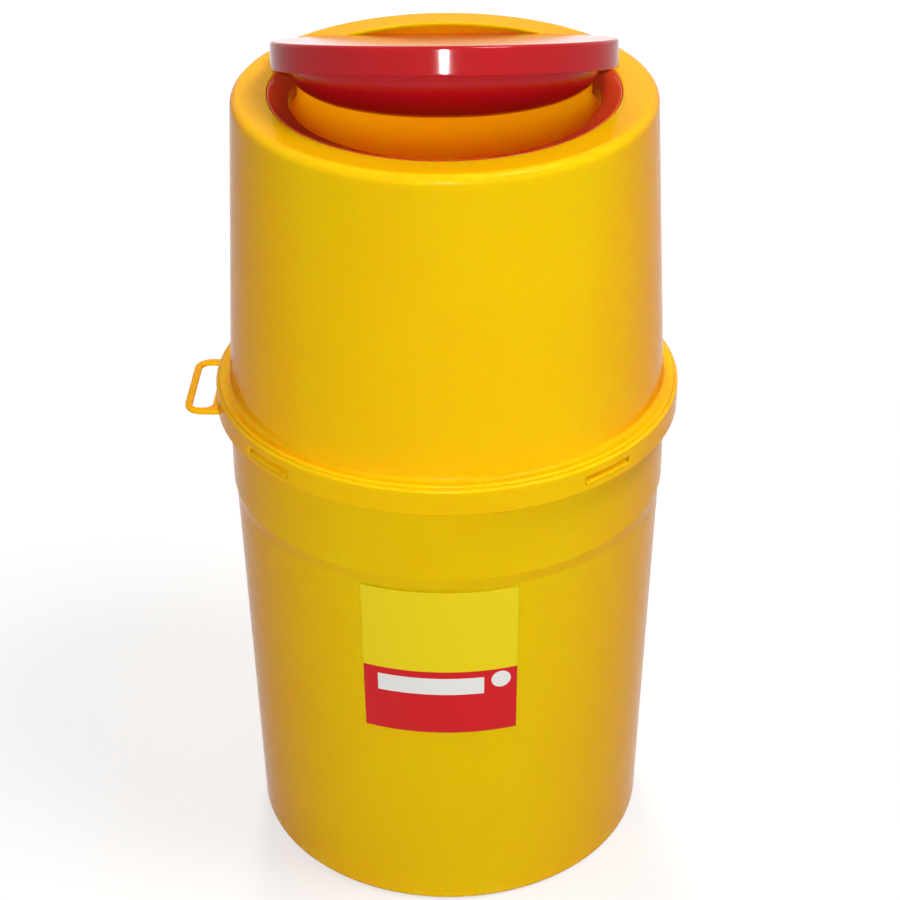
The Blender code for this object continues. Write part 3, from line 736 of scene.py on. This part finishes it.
def on_lid(mesh):
    """Moves a mesh made with the lid's middle at the origin to the lid, tilted as it rests."""
    to_pivot = Matrix.Translation((0, -PIVOT.y, 0))
    mesh.transform(Matrix.Translation(PIVOT) @ Matrix.Rotation(-REST_TILT, 4, 'X') @ to_pivot)
    return mesh


def dish_curve(radius, rim_z, count=30):
    """Superellipse from the dish's rim down to its lowest point on the axis."""
    points = []
    for i in range(count + 1):
        a = pi / 2 * i / count
        out, down = max(cos(a), 0) ** (2 / DISH_FULLNESS), sin(a) ** (2 / DISH_FULLNESS)
        points.append((radius * out if i < count else 0, rim_z - DISH_DEPTH * down))
    return points


RED_PP = red_polypropylene("lid_polypropylene", RED_LIT, RED_DEEP)
DISH_R = LID_R - DISH_MARGIN
LID_LOW = -LID_H / 2
SEAT_R = LID_R - DISH_SEAT_W
FLANGE_LOW = LID_LOW + DISH_INSET
DISH_PROFILE = dish_curve(DISH_R - DISH_WALL, FLANGE_LOW + DISH_WALL)[::-1]
DISH_PROFILE += [(SEAT_R - FIT_GAP, FLANGE_LOW + DISH_WALL), (SEAT_R - FIT_GAP, FLANGE_LOW)]
DISH_PROFILE += dish_curve(DISH_R, FLANGE_LOW)
dish = finished("lid_bowl", on_lid(turned("lid_bowl", DISH_PROFILE, RED_PP)), RED_PP)
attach(dish, "lid")
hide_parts("lid_dish")


# Lid cap: the round top of the lid, with a deep rim and two bosses that take the pivot pins.
# Polypropylene, injection moulded in a polished mould, so that its flat top mirrors what stands behind it.
LID_WALL = 0.0035
LID_PLATE = 0.0025
LID_ROUND = 0.002
BOSS_R = 0.0048
BOSS_LENGTH = 0.0088
LID_TOP = LID_H / 2
LID_IN_R = LID_R - LID_WALL
FLANGE_SEAT_Z = FLANGE_LOW + DISH_WALL + FIT_GAP
CAP_PROFILE = rounded([
    (0, LID_TOP, 0), (LID_R, LID_TOP, LID_ROUND), (LID_R, LID_LOW, EDGE_ROUND),
    (SEAT_R, LID_LOW, EDGE_ROUND / 2), (SEAT_R, FLANGE_SEAT_Z, EDGE_ROUND / 4),
    (LID_IN_R, FLANGE_SEAT_Z, EDGE_ROUND / 4), (LID_IN_R, LID_TOP - LID_PLATE, EDGE_ROUND),
    (0, LID_TOP - LID_PLATE, 0)])
BOSS_OUT_X = sqrt(LID_R ** 2 - (PIVOT.y + BOSS_R) ** 2) - FIT_GAP
BOSS_IN_X = BOSS_OUT_X - BOSS_LENGTH
cap_mesh = turned("lid_cap_shell", CAP_PROFILE, RED_PP)
for side in (-1, 1):
    boss = rod(BOSS_R, side * BOSS_IN_X, side * BOSS_OUT_X, PIVOT.y, 0)
    bore = rod(PIN_R + FIT_GAP, side * (BOSS_IN_X - LUG_T), side * LID_R, PIVOT.y, 0)
    cap_mesh = combined(combined(cap_mesh, boss, 'UNION'), bore, 'DIFFERENCE')
cap = finished("lid_cap_shell", on_lid(cap_mesh), RED_PP)
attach(cap, "lid")
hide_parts("lid_cap")


# Pivot pins: two headed pins, pushed through the collar's lugs into the lid's bosses, tight enough to hold.
# Polypropylene, moulded in the lid's red, with a rounded head and nose.
PIN_HEAD_R = 0.0042
PIN_HEAD_T = 0.002
PIN_HEAD_ROUND = 0.0012
PIN_EDGE = 0.0003
PIN_NOSE = 0.0006
HEAD_SEAT_X = LUG_X + LUG_T + FIT_GAP
HEAD_OUT_X = HEAD_SEAT_X + PIN_HEAD_T
PIN_PROFILE = rounded([
    (0, HEAD_OUT_X, 0), (PIN_HEAD_R, HEAD_OUT_X, PIN_HEAD_ROUND), (PIN_HEAD_R, HEAD_SEAT_X, PIN_EDGE),
    (PIN_R, HEAD_SEAT_X, PIN_EDGE), (PIN_R, BOSS_IN_X, PIN_NOSE), (0, BOSS_IN_X, 0)], guard=0.0002)
for side, sign in (("left", -1), ("right", 1)):
    pin_mesh = turned(f"pin_{side}", PIN_PROFILE, RED_PP, steps=PIN_STEPS)
    pin_mesh.transform(Matrix.Translation((0, PIVOT.y, 0)) @ Matrix.Rotation(sign * pi / 2, 4, 'Y'))
    pin = finished(f"pin_{side}", on_lid(pin_mesh), RED_PP)
    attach(pin, "lid")
    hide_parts(f"pivot_pin_{side}")


# Studio: a seamless paper floor, a small soft box above the camera, a wide one overhead, one on the right,
# and one behind that shines through the walls and isn't mirrored. The floor is lifted to white where it is
# seen or mirrored, and keeps the container's shadow.
FLOOR_SIZE = 14.0
FLOOR_COLOUR = "#989897"
FLOOR_LIFT, EDGE_LIFT = 0.55, 1.0
LIFT_FROM_R = 1.4
WORLD_STRENGTH = 0.30
KEY_PLACE, KEY_SIZE, KEY_POWER = (0.0, -2.25, 1.36), (0.22, 0.42), 50.0
TOP_PLACE, TOP_SIZE, TOP_POWER = (0.2, 0.9, 3.8), (5.0, 5.0), 14.0
BACK_PLACE, BACK_SIZE, BACK_POWER = (-0.2, 2.2, 1.3), (0.7, 0.7), 44.0
SIDE_PLACE, SIDE_SIZE, SIDE_POWER = (1.0, -0.45, 2.75), (0.8, 0.8), 42.0
AIM = Vector((0.0, 0.0, 0.32))
CAMERA_PLACE = (0.0, -1.33979, 1.09223)
CAMERA_PITCH_DEG = 31.302
CAMERA_ROLL_DEG = -0.47
CAMERA_LENS = 93.757
CAMERA_SHIFT_X = 0.0028


def background_rays(tree):
    """1 for the rays that show the background itself: the camera's, mirrored ones and those let through."""
    seen = add_node(tree, 'ShaderNodeLightPath').outputs
    plain = seen["Is Camera Ray"]
    for kind in ("Is Glossy Ray", "Is Transmission Ray"):
        plain = add_node(tree, 'ShaderNodeMath', {0: plain, 1: seen[kind]}, operation='MAXIMUM').outputs[0]
    return plain


def studio_floor():
    """Matt seamless paper, grey under the lamps and lifted to white, more so towards its edges."""
    material = bpy.data.materials.new("studio_floor")
    material.use_nodes = True
    tree = material.node_tree
    shader = tree.nodes["Principled BSDF"]
    shader.inputs["Base Color"].default_value = linear(FLOOR_COLOUR)
    shader.inputs["Roughness"].default_value = 0.9
    shader.inputs["Specular IOR Level"].default_value = 0.1
    shader.inputs["Emission Color"].default_value = (1, 1, 1, 1)
    where = add_node(tree, 'ShaderNodeTexCoord').outputs["Object"]
    away = add_node(tree, 'ShaderNodeVectorMath', {0: where}, operation='LENGTH').outputs["Value"]
    glow = add_node(tree, 'ShaderNodeMapRange', {"Value": away, "From Min": LIFT_FROM_R,
                                                 "From Max": FLOOR_SIZE / 2, "To Min": FLOOR_LIFT,
                                                 "To Max": EDGE_LIFT})
    lift = add_node(tree, 'ShaderNodeMath', {0: background_rays(tree), 1: glow.outputs[0]},
                    operation='MULTIPLY')
    tree.links.new(lift.outputs[0], shader.inputs["Emission Strength"])
    return material


bm = bmesh.new()
bmesh.ops.create_grid(bm, x_segments=1, y_segments=1, size=FLOOR_SIZE / 2)
floor_mesh = bpy.data.meshes.new("floor")
bm.to_mesh(floor_mesh)
bm.free()
floor_mesh.materials.append(studio_floor())
floor = hold("floor", floor_mesh)

world = bpy.data.worlds.new("studio")
world.use_nodes = True
world_tree = world.node_tree
sky = world_tree.nodes["Background"]
level = add_node(world_tree, 'ShaderNodeMapRange', {"Value": background_rays(world_tree),
                                                    "To Min": WORLD_STRENGTH, "To Max": 1.0})
sky.inputs["Color"].default_value = (1, 1, 1, 1)
world_tree.links.new(level.outputs[0], sky.inputs["Strength"])
bpy.context.scene.world = world

LAMPS = (("key", KEY_PLACE, KEY_SIZE, KEY_POWER), ("top", TOP_PLACE, TOP_SIZE, TOP_POWER),
         ("back", BACK_PLACE, BACK_SIZE, BACK_POWER), ("side", SIDE_PLACE, SIDE_SIZE, SIDE_POWER))
for name, place, size, power in LAMPS:
    lamp = bpy.data.lights.new(name, 'AREA')
    lamp.shape = 'ELLIPSE'
    lamp.size, lamp.size_y = size
    lamp.energy = power
    holder = bpy.data.objects.new(name, lamp)
    holder.location = place
    holder.visible_glossy = name != "back"
    holder.rotation_euler = (AIM - Vector(place)).to_track_quat('-Z', 'Y').to_euler()
    bpy.context.scene.collection.objects.link(holder)

camera_data = bpy.data.cameras.new("camera")
camera_data.lens = CAMERA_LENS
camera_data.sensor_width = 36.0
camera_data.shift_x = CAMERA_SHIFT_X
camera = bpy.data.objects.new("camera", camera_data)
camera.location = CAMERA_PLACE
camera.rotation_euler = (Matrix.Rotation(radians(90 - CAMERA_PITCH_DEG), 3, 'X')
                         @ Matrix.Rotation(radians(CAMERA_ROLL_DEG), 3, 'Z')).to_euler()
bpy.context.scene.collection.objects.link(camera)
bpy.context.scene.camera = camera
bpy.context.scene.view_settings.view_transform = 'Standard'
